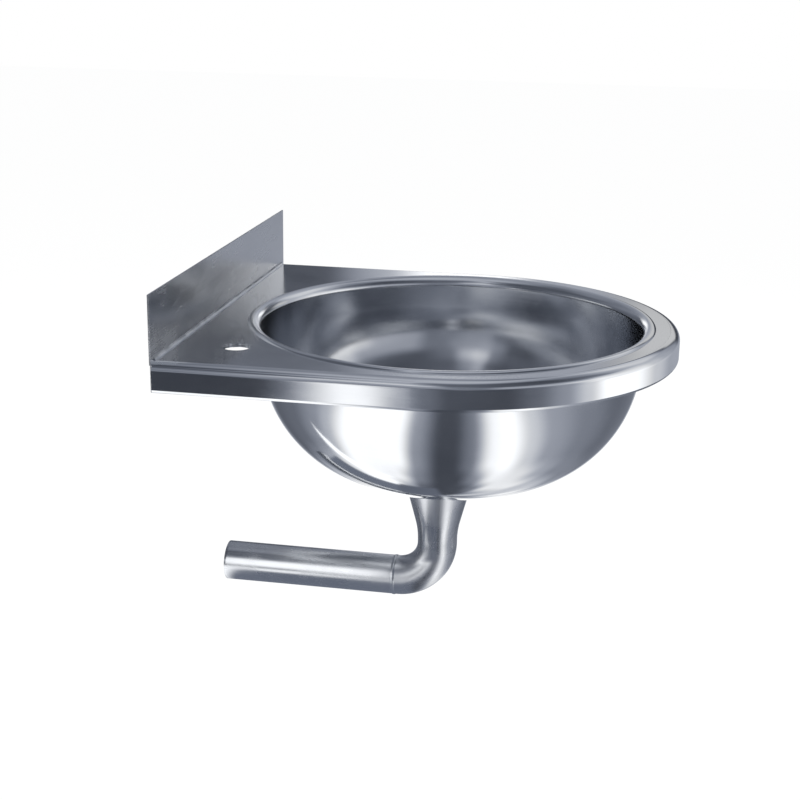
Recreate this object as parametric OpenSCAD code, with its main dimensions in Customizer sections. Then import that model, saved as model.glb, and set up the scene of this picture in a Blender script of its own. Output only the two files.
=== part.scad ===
// Wall-hung stainless steel hand wash basin with a round drawn bowl, a low upstand and a fixed waste pipe.
// Millimetres, Z up. The origin lies on the wall, on the middle line, level with the top of the deck.
// The wall is the plane Y = 0 and the basin reaches out towards -Y.

/* [Sheet] */
// Thickness of the sheet that the deck, apron, back plate and bowl are made of
sheet_t = 1.5; // [1:0.1:2]
// Flat land round the bowl, from the foot of its lip to the start of the fold
land_w = 14; // [10:1:30]
// Depth of the ledge behind the bowl, from the wall to the foot of the lip
ledge_d = 33; // [28:1:80]
// Outside radius of the fold between the deck and the apron
fold_r = 9; // [5:1:12]
// Height of the apron, from the top of the deck
apron_h = 28; // [26:1:45]
// Width of the hem turned in along the bottom of the apron
hem_w = 8; // [6:1:12]
// Outside radius of the bend between the apron and its hem
hem_r = 3; // [2.5:0.5:4]

/* [Upstand] */
// Height of the upstand above the deck
upstand_h = 60; // [40:5:150]
// How far the full width of the upstand reaches down past the deck
upstand_drop = 3; // [2:0.5:5]
// Radius of the weld fillet along the foot of the upstand
foot_weld_r = 3; // [2:0.5:5]

/* [Bowl] */
// Outside radius of the straight wall of the bowl
bowl_r = 185; // [150:5:220]
// Outside depth of the bowl below the top of the deck
bowl_depth = 167; // [150:1:200]
// Depth at which the straight wall of the bowl ends and its side curve starts
wall_depth = 32; // [20:1:40]
// Outside radius of the large arc of the bowl's bottom
crown_r = 310; // [280:5:360]
// Outside radius of the roll that carries the wall up into the lip
roll_r = 10; // [6:0.5:14]
// Height of the lip above the deck
lip_rise = 2; // [1.6:0.1:3]
// Outside radius of the bead on the outer edge of the lip
bead_r = 4; // [3:0.5:6]
// How far the edge of the lip reaches over the edge of the deck's opening
lip_overlap = 4.5; // [4:0.1:5]
// Radius of the weld that joins the bowl to the deck from below
bowl_weld_r = 2.5; // [2:0.1:3]

/* [Tap hole] */
// Diameter of the tap hole
tap_hole_d = 26; // [20:1:35]
// Distance of the middle of the tap hole from the foot of the bowl's lip
tap_from_lip = 31.2; // [30:0.1:34]
// Distance of the tap hole from the wall
tap_from_wall = 58; // [56:1:62]
// Diameter of the stiffening ring under the tap hole
stiffener_d = 52; // [46:1:56]
// Thickness of the stiffening ring
stiffener_t = 2.5; // [2:0.5:4]

/* [Waste] */
// Distance that the outlet is set back from the middle of the bowl towards the wall
outlet_set_back = 9; // [0:1:20]
// Outside diameter of the waste pipe
pipe_d = 40; // [35:1:44]
// Wall thickness of the waste pipe
pipe_t = 1.5; // [1:0.1:2]
// Radius of the bend in the waste pipe, measured at the middle of the pipe
bend_r = 40; // [35:1:60]
// Straight end of the bend, up to the joint with the straight pipe
bend_end_l = 3; // [2.5:0.5:8]
// Outside diameter of the bell mouth where it meets the bowl
bell_d = 68; // [66:1:72]
// Length of the neck, from the bottom of the bowl to the start of the bend
neck_l = 66; // [55:1:100]
// Straight length of the neck above the bend
neck_straight_l = 3; // [1:0.5:8]
// Outside radius of the curve between the bell mouth and the straight neck
waist_r = 80; // [60:5:100]
// Width of the weld round the joint of the bend and the straight pipe
pipe_weld_w = 4; // [3:0.5:4.5]
// Height of that weld above the pipe
pipe_weld_h = 0.6; // [0.4:0.1:1]
// Depth of that weld into the wall of the pipe
pipe_weld_depth = 0.8; // [0.4:0.1:0.9]
// Radius of the weld between the bell mouth and the bowl
bell_weld_r = 3.5; // [3:0.5:4.5]

/* [Strainer] */
// Diameter of the lift-out strainer
strainer_d = 58; // [54:1:58]
// Thickness of the strainer
strainer_t = 1.5; // [1:0.1:2]
// Gap between the edge of the strainer and its seat
seat_gap = 0.5; // [0.4:0.1:1]
// Depth of the seat below the inside of the bowl
seat_depth = 2; // [1.6:0.1:2.5]
// Diameter of the outlet hole inside the seat
outlet_d = 46; // [44:1:47]
// Diameter of the strainer's holes
strainer_hole_d = 4; // [3:0.1:4.2]
// Radius of the innermost ring of holes
hole_ring_r = 10; // [9:0.5:11]
// Distance from one ring of holes to the next
hole_ring_step = 5; // [4.6:0.1:5.4]
// Number of holes in the innermost ring
hole_ring_count = 10; // [6:1:11]
// Number of rings of holes
hole_rings = 3; // [1:1:3]
// Diameter of the lifting knob
knob_d = 12; // [10:1:14]
// Height of the lifting knob above the strainer
knob_h = 9; // [7:1:12]

/* [Wall fixing] */
// Distance of each wall bracket's middle from the side of the basin
bracket_from_side = 40; // [35:1:50]
// Width of a wall bracket
bracket_w = 40; // [34:1:44]
// Thickness of a wall bracket
bracket_t = 3; // [2:0.5:4]
// Length of the bracket's leg under the deck
bracket_leg = 24; // [20:1:25]
// Height of the bracket's leg on the wall
bracket_h = 25; // [22:1:26]
// Diameter of the holes for the wall screws
fixing_hole_d = 9; // [6:0.5:10]
// Depth of the fixing holes below the top of the deck
fixing_drop = 16; // [14:0.5:18]

/* [Earthing tag] */
// Width of the earthing tag
tag_w = 16; // [14:1:20]
// Length of the tag's leg under the deck
tag_leg = 18; // [14:1:22]
// Height of the tag's hanging leg
tag_h = 20; // [18:1:22]
// Diameter of the earthing bolt
bolt_d = 6; // [5:0.5:6]
// Length of the earthing bolt below its head
bolt_l = 16; // [14:1:22]
// Width across the corners of the bolt's head and nut
hex_d = 11.5; // [10:0.5:13]
// Height of the bolt's head
head_h = 4; // [3:0.5:5]
// Height of the nut
nut_h = 5; // [4:0.5:6]
// Outside diameter of the washers
washer_d = 12; // [10:0.5:13]
// Thickness of the washers
washer_t = 1.2; // [1:0.1:1.6]

/* [Hidden] */

// Small overrun of every cutting shape past the face that it cuts
cut_over = 5;
// Gap between the rear flange and what it passes inside
flange_gap = 0.6;
// How far the straight wall of the bell mouth bites into the curve of the waist
waist_bite = 0.05;
// Radial gap round the shank of the earthing bolt
bolt_gap = 0.25;
// The lifting knob below its head: diameters of its waist, its shank and its riveted end
knob_waist_d = 7;
shank_d = 5;
rivet_d = 8;
// Heights of the knob's rounded head and of its riveted end
knob_head_h = 4;
rivet_h = 1;

$fn = 96;

// Middle of the bowl's lip: the radius of its crest, and of its foot on the deck
crest_r = bowl_r - sheet_t + roll_r;
lip_foot_r = crest_r + sqrt(pow(bead_r, 2) - pow(bead_r - lip_rise, 2));
opening_r = lip_foot_r - lip_overlap;

// Half the basin's width, which is also the radius of its round front
rim_r = lip_foot_r + land_w + fold_r;
fold_start_r = rim_r - fold_r;
bowl_y = -(ledge_d + lip_foot_r);

// The side curve runs tangent from the straight wall into the large arc of the bottom
drop = bowl_depth - wall_depth;
side_r = (2 * crown_r * drop - pow(drop, 2) - pow(bowl_r, 2)) / (2 * (crown_r - bowl_r));
crown_z = crown_r - bowl_depth;
join_angle = atan2(bowl_r - side_r, crown_z + wall_depth);

// Outlet and waste pipe
outlet_y = bowl_y + outlet_set_back;
seat_r = strainer_d / 2 + seat_gap;
seat_z = sheet_t - bowl_depth - seat_depth;
pipe_r = pipe_d / 2;
bend_z = -bowl_depth - neck_l;
pipe_z = bend_z - bend_r;
bend_y = outlet_y + bend_r;
joint_y = bend_y + bend_end_l;
waist_z = bend_z + neck_straight_l;

// The bell mouth runs straight from its mouth down to the waist's curve, which it crosses at a slight angle
waist_c = [pipe_r + waist_r, waist_z];
mouth = [bell_d / 2, -bowl_depth];
waist_reach = waist_r - waist_bite;
waist_angle = atan2(mouth[1] - waist_c[1], mouth[0] - waist_c[0]) + acos(waist_reach / norm(mouth - waist_c));
waist_dir = [cos(waist_angle), sin(waist_angle)];
waist_end = waist_c + waist_reach * waist_dir;
bell_dir = (mouth - waist_end) / norm(mouth - waist_end);

tap_y = -tap_from_wall;
tap_x = -sqrt(pow(lip_foot_r + tap_from_lip, 2) - pow(tap_y - bowl_y, 2));
fixing_x = rim_r - bracket_from_side;

steel = "silver";
pipe_steel = "lightslategray";
weld_steel = "gray";

// A ring of the given outside radius and thickness
module ring(outer_r, wall_t) {
    difference() {
        circle(outer_r);
        circle(outer_r - wall_t);
    }
}

// The part of a shape that lies in one quarter round its own origin
module quarter(size, side_x, side_y) {
    intersection() {
        children();
        translate([side_x < 0 ? -size : 0, side_y < 0 ? -size : 0]) square(size);
    }
}

// Outline of a plate with straight sides and a round front, of the given half width
module u_outline(half_w, back_y) {
    translate([-half_w, bowl_y]) square([2 * half_w, back_y - bowl_y]);
    translate([0, bowl_y]) circle(half_w);
}

module deck_plate() {
    color(steel) translate([0, 0, -sheet_t]) linear_extrude(sheet_t) difference() {
        u_outline(fold_start_r, -sheet_t);
        translate([0, bowl_y]) circle(opening_r);
        translate([tap_x, tap_y]) circle(tap_hole_d / 2);
    }
}

// Section of the apron: the fold, the upright and the hem, with x measured out from the fold's start
module apron_section() {
    translate([0, -fold_r]) quarter(fold_r, 1, 1) ring(fold_r, sheet_t);
    translate([fold_r - sheet_t, hem_r - apron_h]) square([sheet_t, apron_h - fold_r - hem_r]);
    translate([fold_r - hem_r, hem_r - apron_h]) quarter(hem_r, 1, -1) ring(hem_r, sheet_t);
    translate([fold_r - hem_w, -apron_h]) square([hem_w - hem_r, sheet_t]);
}

module apron_side() {
    translate([fold_start_r, bowl_y, 0]) rotate([90, 0, 180]) mirror([1, 0, 0])
        linear_extrude(-bowl_y - sheet_t) apron_section();
}

module apron_band() {
    color(steel) {
        apron_side();
        mirror([1, 0, 0]) apron_side();
        translate([0, bowl_y, 0]) rotate([0, 0, 180]) rotate_extrude(angle = 180)
            translate([fold_start_r, 0]) apron_section();
    }
}

// The upstand and, below the deck, the narrower rear flange with the holes for the wall screws
module back_plate() {
    flange_half_w = rim_r - sheet_t - flange_gap;
    color(steel) rotate([90, 0, 0]) linear_extrude(sheet_t) difference() {
        union() {
            translate([-rim_r, -upstand_drop]) square([2 * rim_r, upstand_h + upstand_drop]);
            translate([-flange_half_w, -apron_h]) square([2 * flange_half_w, apron_h - upstand_drop]);
        }
        for (side = [-1, 1]) translate([side * fixing_x, -fixing_drop]) circle(fixing_hole_d / 2);
    }
}

module upstand_weld() {
    color(weld_steel) translate([-fold_start_r, -sheet_t, 0]) rotate([90, 0, 90])
        linear_extrude(2 * fold_start_r) mirror([1, 0]) difference() {
            square(foot_weld_r);
            translate([foot_weld_r, foot_weld_r]) circle(foot_weld_r);
        }
}

// Section of the bowl's lip: the roll inside and the bead outside, both hung from the crest
module lip_section() {
    translate([crest_r, lip_rise - roll_r]) quarter(roll_r, -1, 1) ring(roll_r, sheet_t);
    translate([crest_r, lip_rise - bead_r]) intersection() {
        ring(bead_r, sheet_t);
        translate([0, bead_r - lip_rise]) square([bead_r, lip_rise]);
    }
}

// Section of the bowl below its lip: straight wall, side curve and bottom
module bowl_section() {
    knee = [bowl_r - side_r, -wall_depth];
    far = knee + 2 * side_r * [sin(join_angle), -cos(join_angle)];
    translate([bowl_r - sheet_t, -wall_depth]) square([sheet_t, wall_depth + lip_rise - roll_r]);
    intersection() {
        translate(knee) ring(side_r, sheet_t);
        polygon([knee, far, [far[0] + 2 * side_r, far[1]], [knee[0] + 2 * side_r, knee[1]]]);
    }
    intersection() {
        translate([0, crown_z]) ring(crown_r, sheet_t);
        polygon([[0, -wall_depth], knee, far, [0, far[1]]]);
    }
}

// Blank of the cup round the outlet: it reaches up to the middle of the bowl's sheet
module seat_blank() {
    cup_r = seat_r + sheet_t;
    difference() {
        translate([0, outlet_y, seat_z - sheet_t]) cylinder(r = cup_r, h = cup_r);
        translate([0, bowl_y, crown_z]) sphere(r = crown_r - sheet_t / 2, $fn = 200);
    }
}

// The drawn bowl, with a seat for the strainer pressed round its outlet
module bowl() {
    color(steel) difference() {
        union() {
            translate([0, bowl_y, 0]) rotate_extrude() {
                lip_section();
                bowl_section();
            }
            seat_blank();
        }
        translate([0, outlet_y, seat_z]) cylinder(r = seat_r, h = seat_r);
        translate([0, outlet_y, seat_z - cut_over]) cylinder(r = outlet_d / 2, h = 2 * cut_over);
    }
}

// The weld under the deck that fills the corner between the opening's edge and the bowl's roll
module bowl_weld() {
    color(weld_steel) translate([0, bowl_y, 0]) rotate_extrude() difference() {
        intersection() {
            translate([opening_r, -sheet_t]) circle(bowl_weld_r);
            translate([crest_r, lip_rise - roll_r]) circle(roll_r - sheet_t);
            translate([0, -roll_r]) square([2 * crest_r, roll_r]);
        }
        translate([opening_r, -sheet_t]) square([2 * roll_r, sheet_t]);
    }
}

// Filled outline of the neck round its own axis: bell mouth, waist and straight part, drawn in by an inset
module neck_outline(inset, over) {
    inward = inset * waist_dir;
    top = mouth + (cut_over + over) * bell_dir + inward;
    difference() {
        polygon([[0, bend_z - over], [pipe_r - inset, bend_z - over], [pipe_r - inset, waist_z],
                 waist_c, waist_end + inward, top, [0, top[1]]]);
        translate(waist_c) circle(waist_r + inset);
    }
}

module neck_section() {
    difference() {
        neck_outline(0, 0);
        neck_outline(pipe_t, cut_over);
    }
}

// One tube: its top end is opened into a bell mouth cut to the bowl, and its lower end is bent to the wall
module waste_bend() {
    color(pipe_steel) difference() {
        union() {
            translate([0, outlet_y, 0]) rotate_extrude() neck_section();
            translate([0, bend_y, bend_z]) rotate([-90, 0, 0]) rotate([0, 90, 0])
                rotate_extrude(angle = 90) translate([bend_r, 0]) ring(pipe_r, pipe_t);
            at_joint() translate([0, 0, -bend_end_l]) linear_extrude(bend_end_l) ring(pipe_r, pipe_t);
        }
        translate([0, bowl_y, crown_z]) sphere(r = crown_r, $fn = 200);
        at_joint() rotate_extrude() pipe_weld_section();
    }
}

module bell_weld() {
    color(weld_steel) difference() {
        translate([0, outlet_y, -bowl_depth + sheet_t]) rotate_extrude()
            translate([bell_d / 2, 0]) circle(bell_weld_r);
        translate([0, bowl_y, crown_z]) sphere(r = crown_r, $fn = 200);
        translate([0, outlet_y, 0]) rotate_extrude() polygon([
            [0, waist_end[1]], waist_end, mouth + 2 * cut_over * bell_dir,
            [0, mouth[1] + 2 * cut_over * bell_dir[1]]]);
    }
}

// What lies round the joint of the bend and the straight pipe, with its own Z towards the wall
module at_joint() {
    translate([0, joint_y, pipe_z]) rotate([-90, 0, 0]) children();
}

// Section of the weld at that joint: a low arc outside the pipe and a V into its wall
module pipe_weld_section() {
    half_w = pipe_weld_w / 2;
    weld_r = (pow(half_w, 2) + pow(pipe_weld_h, 2)) / (2 * pipe_weld_h);
    polygon([[pipe_r, -half_w], [pipe_r, half_w], [pipe_r - pipe_weld_depth, 0]]);
    intersection() {
        translate([pipe_r + pipe_weld_h - weld_r, 0]) circle(weld_r);
        translate([pipe_r, -pipe_weld_w]) square([pipe_weld_w, 2 * pipe_weld_w]);
    }
}

module pipe_weld() {
    color(weld_steel) at_joint() rotate_extrude() pipe_weld_section();
}

module waste_pipe() {
    color(pipe_steel) at_joint() difference() {
        linear_extrude(-joint_y) ring(pipe_r, pipe_t);
        rotate_extrude() pipe_weld_section();
    }
}

module strainer_plate() {
    color(steel) translate([0, outlet_y, seat_z]) linear_extrude(strainer_t) difference() {
        circle(strainer_d / 2);
        circle(shank_d / 2);
        for (i = [0:hole_rings - 1]) {
            ring_r = hole_ring_r + i * hole_ring_step;
            count = round(hole_ring_count * ring_r / hole_ring_r);
            for (k = [0:count - 1]) rotate(k * 360 / count) translate([ring_r, 0])
                circle(strainer_hole_d / 2, $fn = 32);
        }
    }
}

// A turned knob: rounded head, waist, shank through the strainer and rivet head below
module strainer_knob() {
    head_z = strainer_t + knob_h - knob_head_h;
    color(steel) translate([0, outlet_y, seat_z]) rotate_extrude() {
        translate([0, -rivet_h]) square([rivet_d / 2, rivet_h]);
        square([shank_d / 2, strainer_t]);
        translate([0, strainer_t]) square([knob_waist_d / 2, knob_h - knob_head_h]);
        translate([0, head_z]) square([(knob_d - knob_head_h) / 2, knob_head_h]);
        translate([(knob_d - knob_head_h) / 2, head_z + knob_head_h / 2])
            intersection() {
                circle(knob_head_h / 2);
                translate([0, -knob_head_h / 2]) square(knob_head_h);
            }
    }
}

module tap_hole_stiffener() {
    color(steel) translate([tap_x, tap_y, -sheet_t - stiffener_t]) linear_extrude(stiffener_t)
        ring(stiffener_d / 2, (stiffener_d - tap_hole_d) / 2);
}

// A pressed bracket: one leg on the rear flange, one under the deck, and a web down each side
module wall_bracket(side) {
    color(steel) translate([side * fixing_x, -sheet_t, -sheet_t]) {
        difference() {
            translate([-bracket_w / 2, -bracket_t, -bracket_h]) cube([bracket_w, bracket_t, bracket_h]);
            translate([0, cut_over, sheet_t - fixing_drop]) rotate([90, 0, 0])
                cylinder(d = fixing_hole_d, h = bracket_t + 2 * cut_over);
        }
        translate([-bracket_w / 2, -bracket_leg, -bracket_t])
            cube([bracket_w, bracket_leg - bracket_t, bracket_t]);
        for (edge = [-bracket_w / 2, bracket_w / 2 - bracket_t]) translate([edge, 0, 0])
            rotate([90, 0, 90]) linear_extrude(bracket_t) polygon([
                [-bracket_t, -bracket_t], [-bracket_leg, -bracket_t], [-bracket_t, -bracket_h]]);
    }
}

module left_wall_bracket() {
    wall_bracket(-1);
}

module right_wall_bracket() {
    wall_bracket(1);
}

// What belongs to the earthing tag stands at the middle of its hanging leg's outer face
module at_tag() {
    translate([-tap_x, tap_y, -sheet_t - (sheet_t + tag_h) / 2]) children();
}

module earth_tag() {
    leg_half = tag_w / 2;
    color(steel) at_tag() difference() {
        union() {
            translate([-sheet_t, -leg_half, -(tag_h - sheet_t) / 2 - sheet_t])
                cube([sheet_t, tag_w, tag_h]);
            translate([-sheet_t, -leg_half, (tag_h - sheet_t) / 2]) cube([tag_leg, tag_w, sheet_t]);
        }
        translate([-cut_over, 0, 0]) rotate([0, 90, 0])
            cylinder(r = bolt_d / 2 + bolt_gap, h = 2 * cut_over);
    }
}

module earth_bolt() {
    color(weld_steel) at_tag() rotate([0, 90, 0]) {
        translate([0, 0, washer_t - bolt_l]) cylinder(d = bolt_d, h = bolt_l);
        translate([0, 0, washer_t]) cylinder(d = hex_d, h = head_h, $fn = 6);
    }
}

module earth_washers() {
    color(weld_steel) at_tag() rotate([0, 90, 0])
        for (z = [-sheet_t - washer_t, 0]) translate([0, 0, z]) linear_extrude(washer_t)
            ring(washer_d / 2, washer_d / 2 - bolt_d / 2 - bolt_gap);
}

module earth_nut() {
    color(weld_steel) at_tag() rotate([0, 90, 0])
        translate([0, 0, -sheet_t - washer_t - nut_h]) difference() {
            cylinder(d = hex_d, h = nut_h, $fn = 6);
            translate([0, 0, -cut_over]) cylinder(d = bolt_d, h = nut_h + 2 * cut_over);
        }
}

deck_plate();
apron_band();
back_plate();
upstand_weld();
bowl();
bowl_weld();
waste_bend();
bell_weld();
waste_pipe();
pipe_weld();
strainer_plate();
strainer_knob();
tap_hole_stiffener();
left_wall_bracket();
right_wall_bracket();
earth_tag();
earth_bolt();
earth_nut();
earth_washers();
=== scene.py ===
# Stainless steel hand wash basin: smooth surfaces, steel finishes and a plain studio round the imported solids
import math

import bmesh
import bpy
import numpy as np
from mathutils import Matrix, Vector


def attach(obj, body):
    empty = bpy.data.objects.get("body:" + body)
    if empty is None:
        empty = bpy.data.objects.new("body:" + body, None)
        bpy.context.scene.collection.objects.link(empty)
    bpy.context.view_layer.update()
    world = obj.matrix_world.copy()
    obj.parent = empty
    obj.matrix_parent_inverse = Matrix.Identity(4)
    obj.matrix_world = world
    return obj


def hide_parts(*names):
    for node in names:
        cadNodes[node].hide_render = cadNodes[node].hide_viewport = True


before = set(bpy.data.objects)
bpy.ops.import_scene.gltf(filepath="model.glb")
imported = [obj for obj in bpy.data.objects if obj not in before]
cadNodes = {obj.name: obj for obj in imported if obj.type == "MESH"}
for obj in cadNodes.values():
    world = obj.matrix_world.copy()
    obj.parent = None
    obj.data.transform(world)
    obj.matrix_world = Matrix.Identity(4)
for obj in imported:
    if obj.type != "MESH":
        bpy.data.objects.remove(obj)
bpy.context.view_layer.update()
print("frame loaded,", len(cadNodes), "nodes")

mm = 0.001

# Sizes in millimetres that several pieces share, the same as in the part's source
basin = {
    "sheet": 1.5, "bowlY": -229.9641, "foldStart": 210.9641, "outletY": -220.9641,
    "crownR": 310.0, "crownZ": 143.0, "joinAngle": 18.9246,
    "pipeR": 20.0, "pipeWall": 1.5, "bendR": 40.0, "bendY": -180.9641, "bendZ": -233.0,
    "pipeZ": -273.0, "jointY": -177.9641, "seatZ": -167.5,
}

# Points nearer than this many metres are one point; faces within planeAngle of each other lie in one plane;
# edges sharper than bevelAngle get a bevel. Angles in degrees.
meshing = {"nearest": 1e-6, "planeAngle": 0.5, "bevelAngle": 40.0}


# Points on a circle: (x + r cos t, z + r sin t) for t from a to b in degrees
def arc(x, z, r, a, b, count):
    t = np.radians(np.linspace(a, b, count))
    return np.stack([x + r * np.cos(t), z + r * np.sin(t)], 1)


# Points on a straight line, p + t (q - p) with t = (1 - cos s) / 2 for s from 0 to pi.
# They lie closer together near both ends, so that smooth shading stays flat between them.
def straight(p, q, count):
    t = (1 - np.cos(np.linspace(0, np.pi, count))) / 2
    return np.asarray(p, float) + t[:, None] * (np.asarray(q, float) - np.asarray(p, float))


# One profile from several stretches, with repeated points dropped
def chain(*stretches):
    points = np.concatenate([np.atleast_2d(s) for s in stretches])
    step = np.linalg.norm(np.diff(points, axis=0), axis=1)
    return points[np.r_[True, step > 1e-4]]


# Directions round a full turn in radians: 2 pi i / count
def fullTurn(count):
    return np.radians(np.arange(count) * 360 / count)


# Six times the volume between the origin and n x 3 x 3 triangles: the sum of a . (b x c)
def volumeOf(triangles):
    a, b, c = (triangles[:, i] for i in range(3))
    return np.einsum("ij,ij->i", a, np.cross(b, c)).sum()


# Puts a mesh, a lamp or a camera into the scene
def linked(name, data):
    holder = bpy.data.objects.new(name, data)
    bpy.context.scene.collection.objects.link(holder)
    return holder


# Makes a mesh of a rows x columns grid of points in millimetres: neighbours in the grid become faces.
# A closed direction joins its last line to its first, and capped ends get one flat face each.
# The UV map holds the mean length along the rows and along the columns, in metres.
def surface(name, grid, closeRows=False, closeCols=False, caps=False, sharp=40):
    rows, cols = grid.shape[:2]
    points = grid.reshape(-1, 3) * mm
    r, c = np.meshgrid(np.arange(rows if closeRows else rows - 1),
                       np.arange(cols if closeCols else cols - 1), indexing="ij")
    r, c = r.ravel(), c.ravel()
    cornerR = np.stack([r, r, r + 1, r + 1], 1)
    cornerC = np.stack([c, c + 1, c + 1, c], 1)
    quads = (cornerR % rows) * cols + cornerC % cols
    loop = np.concatenate([grid, grid[:1]]) if closeRows else grid
    rowStep = np.linalg.norm(np.diff(loop, axis=0), axis=2).mean(1)
    loop = np.concatenate([grid, grid[:, :1]], 1) if closeCols else grid
    colStep = np.linalg.norm(np.diff(loop, axis=1), axis=2).mean(0)
    along = np.r_[0, np.cumsum(rowStep)] * mm
    across = np.r_[0, np.cumsum(colStep)] * mm
    uv = np.stack([along[cornerR], across[cornerC]], 2)

    # Faces of a solid point outwards where its volume comes out above zero
    ends = [np.arange(cols)[::-1], np.arange(cols) + (rows - 1) * cols] if caps else []
    fans = [np.stack([np.full(cols - 2, end[0]), end[1:-1], end[2:]], 1) for end in ends]
    triangles = [quads[:, [0, 1, 2, 0, 2, 3]].reshape(-1, 3), *fans]
    if sum(volumeOf(points[t]) for t in triangles) < 0:
        quads, uv = quads[:, ::-1], uv[:, ::-1]
        ends = [end[::-1] for end in ends]

    mesh = bpy.data.meshes.new(name)
    mesh.from_pydata(points, [], quads.tolist() + [end.tolist() for end in ends])
    layer = mesh.uv_layers.new(name="UVMap")
    flat = np.zeros((len(mesh.loops), 2), np.float32)
    flat[:quads.size] = uv.reshape(-1, 2)
    layer.data.foreach_set("uv", flat.ravel())
    merge(mesh)
    mesh.shade_smooth()
    mesh.set_sharp_from_angle(angle=math.radians(sharp))
    return linked(name, mesh)


# Merges doubled points, such as those of a pole, and joins faces that lie in one plane where asked
def merge(mesh, joinFaces=False):
    work = bmesh.new()
    work.from_mesh(mesh)
    bmesh.ops.remove_doubles(work, verts=work.verts, dist=meshing["nearest"])
    if joinFaces:
        limit = math.radians(meshing["planeAngle"])
        bmesh.ops.dissolve_limit(work, angle_limit=limit, verts=work.verts, edges=work.edges)
    work.to_mesh(mesh)
    work.free()


# A merged copy of a CAD node whose sharp edges get a small bevel
def bevelledCopy(name, node, width, segments):
    mesh = cadNodes[node].data.copy()
    merge(mesh, joinFaces=True)
    mesh.shade_smooth()
    piece = linked(name, mesh)
    bevel = piece.modifiers.new("edges", "BEVEL")
    bevel.width = width * mm
    bevel.segments = segments
    bevel.limit_method = "ANGLE"
    bevel.angle_limit = math.radians(meshing["bevelAngle"])
    # Large faces keep their own direction, so that they mirror as flat sheets
    flat = piece.modifiers.new("flatFaces", "WEIGHTED_NORMAL")
    flat.weight = 100
    flat.keep_sharp = True
    return piece


# Hangs a new piece on the body that carries it, hides the CAD nodes that it stands in for and gives it its
# finish
def place(piece, body, slot, material, *replaced):
    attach(piece, body)
    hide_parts(*replaced)
    piece.data.materials.clear()
    piece.data.materials.append(material)


# One value or colour in a material; sums, products and the like on it add Math nodes
class Value:
    def __init__(self, finish, output):
        self.finish = finish
        self.output = output

    def math(self, operation, *others):
        return self.finish.node("ShaderNodeMath", {"operation": operation}, dict(enumerate((self, *others))))

    def swapped(self, operation, other):
        return self.finish.node("ShaderNodeMath", {"operation": operation}, {0: other, 1: self})

    def __add__(self, other):
        return self.math("ADD", other)

    def __sub__(self, other):
        return self.math("SUBTRACT", other)

    def __mul__(self, other):
        return self.math("MULTIPLY", other)

    def __truediv__(self, other):
        return self.math("DIVIDE", other)

    def __pow__(self, other):
        return self.math("POWER", other)

    def __rsub__(self, other):
        return self.swapped("SUBTRACT", other)

    def __rtruediv__(self, other):
        return self.swapped("DIVIDE", other)

    __radd__ = __add__
    __rmul__ = __mul__


# A new material, or the world, and the calls that add nodes to it
class Finish:
    def __init__(self, name, store=bpy.data.materials):
        self.made = store.new(name)
        self.made.use_nodes = True
        self.tree = self.made.node_tree
        self.tree.nodes.clear()

    # Adds any node: settings are set first, then values or links of its sockets
    def node(self, kind, settings=None, inputs=None, output=0):
        made = self.tree.nodes.new(kind)
        for key, value in (settings or {}).items():
            if key == "stops":
                self.setStops(made.color_ramp, value)
            elif kind == "ShaderNodeValToRGB":
                setattr(made.color_ramp, key, value)
            else:
                setattr(made, key, value)
        for key, value in (inputs or {}).items():
            if isinstance(value, Value):
                self.tree.links.new(value.output, made.inputs[key])
            else:
                made.inputs[key].default_value = value
        return made if output is None else Value(self, made.outputs[output])

    # A ramp's stops, from directions in degrees and brightnesses
    def setStops(self, ramp, stops):
        while len(ramp.elements) > 1:
            ramp.elements.remove(ramp.elements[-1])
        for i, (angle, level) in enumerate(stops):
            stop = ramp.elements[0] if i == 0 else ramp.elements.new(angle / 360)
            stop.position = angle / 360
            stop.color = (level, level, level, 1.0)

    def coordinates(self, which="Object"):
        return self.node("ShaderNodeTexCoord", output=which)

    # The three numbers of a vector
    def parts(self, vector):
        split = self.node("ShaderNodeSeparateXYZ", {}, {0: vector}, None)
        return [Value(self, out) for out in split.outputs]

    # A vector made of three numbers
    def joined(self, x, y, z):
        return self.node("ShaderNodeCombineXYZ", {}, {0: x, 1: y, 2: z})

    # Vector Math, whose number is its second output
    def vector(self, operation, *vectors, output=0):
        return self.node("ShaderNodeVectorMath", {"operation": operation}, dict(enumerate(vectors)), output)

    def noise(self, vector, scale, detail, rough):
        return self.node("ShaderNodeTexNoise", {"noise_dimensions": "3D"},
                         {"Vector": vector, "Scale": scale, "Detail": detail, "Roughness": rough})

    # Maps a value from one range to another and keeps it inside the second
    def mapped(self, value, low, high, toLow=0.0, toHigh=1.0):
        return self.node("ShaderNodeMapRange", {"clamp": True, "interpolation_type": "SMOOTHSTEP"},
                         {0: value, 1: low, 2: high, 3: toLow, 4: toHigh})

    # Goes from the first colour to the second; colours are tuples of three or links
    def mixed(self, factor, first, second):
        first, second = ((*c, 1.0) if isinstance(c, tuple) else c for c in (first, second))
        return self.node("ShaderNodeMix", {"data_type": "RGBA"}, {0: factor, 6: first, 7: second}, 2)

    # Goes from the first number to the second
    def between(self, factor, first, second):
        return first + factor * (second - first)

    def bump(self, height, strength, distance):
        return self.node("ShaderNodeBump", {}, {"Height": height, "Strength": strength, "Distance": distance})

    def glow(self, color, strength):
        return self.node("ShaderNodeEmission", {}, {"Color": color, "Strength": strength})

    # Ends the material in one shader
    def ended(self, shader, kind="ShaderNodeOutputMaterial"):
        self.node(kind, {}, {"Surface": shader}, None)
        return self.made


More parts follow.
